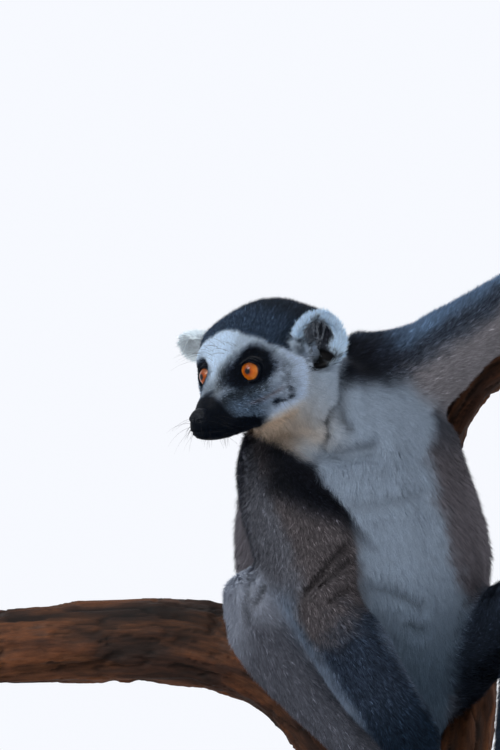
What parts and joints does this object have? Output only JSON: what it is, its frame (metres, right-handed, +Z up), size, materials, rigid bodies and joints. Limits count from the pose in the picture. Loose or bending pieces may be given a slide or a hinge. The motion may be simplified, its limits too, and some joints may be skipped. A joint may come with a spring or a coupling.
{
  "type": "ring-tailed lemur",
  "caption": "Life-size still model of a ring-tailed lemur sitting in the fork of a cut branch, one arm raised along a limb, on a plain display stand.",
  "frame": {"origin": "centre of the underside of the stand's base", "axes": "+Z up; the viewer of the pictured side looks along +Y, and +X runs to that viewer's right, towards the raised left hand"},
  "size_m": [0.4535, 0.269, 0.7091],
  "materials": {
    "coat_crown": "soft short fur",
    "coat_pale": "soft fur",
    "coat_grey": "soft fur",
    "coat_brown": "soft fur",
    "coat_black": "soft fur",
    "eye": "wet gloss",
    "nose": "moist leather",
    "bark": "rough flaking bark",
    "stand_board": "satin stained board",
    "stand_rod": "brushed"
  },
  "bodies": {
    "root": {"stand_rod_left": "stand_rod", "stand_rod_right": "stand_rod", "stand_base": "stand_board", "perch_branch": "bark", "perch_limb": "bark", "eye_left": "eye", "eye_right": "eye", "nose": "nose", "head": "coat_crown", "ear_left": "coat_pale", "ear_right": "coat_pale", "neck": "coat_pale", "chest": "coat_pale", "abdomen": "coat_brown", "upper_arm_right": "coat_brown", "upper_arm_left": "coat_grey", "forearm_right": "coat_grey", "forearm_left": "coat_grey", "hand_right": "coat_grey", "hand_left": "coat_grey", "thigh_right": "coat_grey", "thigh_left": "coat_grey", "shin_right": "coat_grey", "shin_left": "coat_grey", "foot_right": "coat_grey", "foot_left": "coat_grey", "tail_1": "coat_pale", "tail_2": "coat_pale", "tail_3": "coat_pale", "tail_4": "coat_black"}
  },
  "joints": []
}
